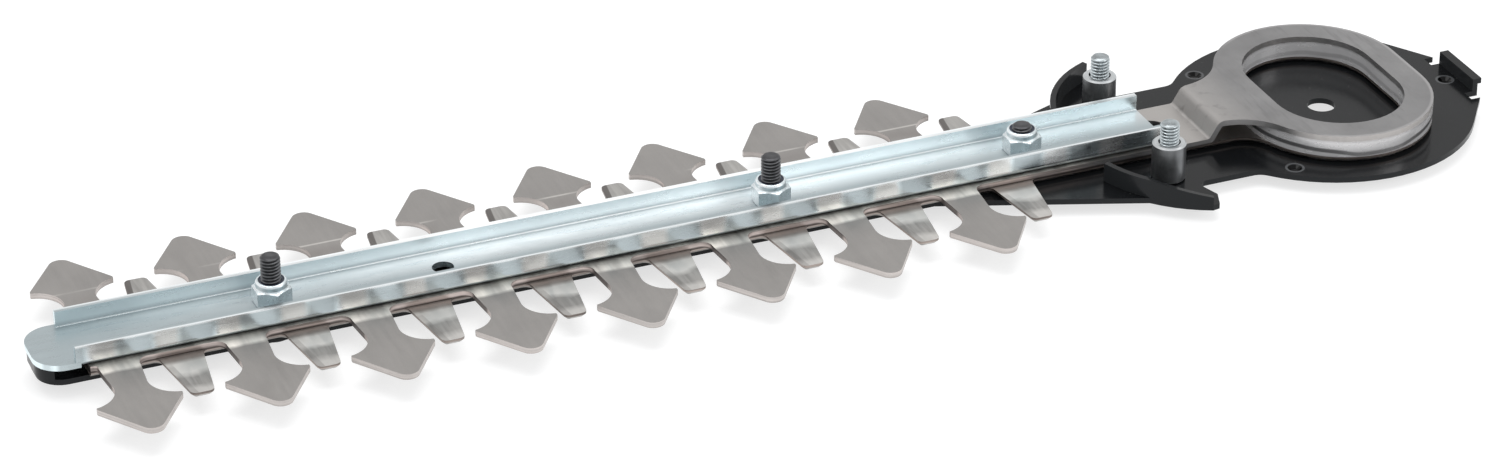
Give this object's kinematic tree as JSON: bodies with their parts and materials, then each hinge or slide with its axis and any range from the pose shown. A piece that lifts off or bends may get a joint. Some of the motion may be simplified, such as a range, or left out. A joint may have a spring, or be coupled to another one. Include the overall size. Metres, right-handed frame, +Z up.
{
  "type": "hedge trimmer blade",
  "caption": "Double-sided hedge trimmer cutting bar: two toothed blades slide between a flat base plate and a guide channel, driven by a cam inside two yokes.",
  "frame": {"origin": "centre of the drive hole on the upper face of the base plate", "axes": "+X along the blade to its tip, +Z up from the base plate to the guide channel, +Y to the right-hand wing's side"},
  "size_m": [0.3122, 0.0684, 0.0177],
  "materials": {
    "base_plate": "gloss black coat",
    "guide_bar": "bright zinc plate",
    "upper_blade": "ground steel",
    "upper_yoke_ring": "plain steel",
    "lower_blade": "ground steel",
    "tip_spacer": "plain steel",
    "blade_bolt": "black oxide",
    "bolt_bush": "hardened steel",
    "lock_nut": "bright zinc plate",
    "nut_insert": "dark polyamide",
    "mount_sleeve": "zinc plate",
    "mount_bolt": "zinc plate"
  },
  "bodies": {
    "bar": {"base_plate": "base_plate", "guide_bar": "guide_bar", "tip_spacer": "tip_spacer", "blade_bolt_front": "blade_bolt", "blade_bolt_middle": "blade_bolt", "blade_bolt_rear": "blade_bolt", "bolt_bush_front": "bolt_bush", "bolt_bush_middle": "bolt_bush", "bolt_bush_rear": "bolt_bush", "lock_nut_front": "lock_nut", "lock_nut_middle": "lock_nut", "lock_nut_rear": "lock_nut", "nut_insert_front": "nut_insert", "nut_insert_middle": "nut_insert", "nut_insert_rear": "nut_insert", "mount_sleeve_left": "mount_sleeve", "mount_sleeve_right": "mount_sleeve", "mount_bolt_left": "mount_bolt", "mount_bolt_right": "mount_bolt"},
    "upper blade": {"upper_blade": "upper_blade", "upper_yoke_ring": "upper_yoke_ring"},
    "lower blade": {"lower_blade": "lower_blade"}
  },
  "joints": [
    {"name": "upper_blade_slide", "type": "slide", "parent": "bar", "child": "upper blade", "axis": [1, 0, 0], "range_m": [-0.006, 0.006]},
    {"name": "lower_blade_slide", "type": "slide", "parent": "bar", "child": "lower blade", "axis": [1, 0, 0], "range_m": [-0.006, 0.006]}
  ]
}
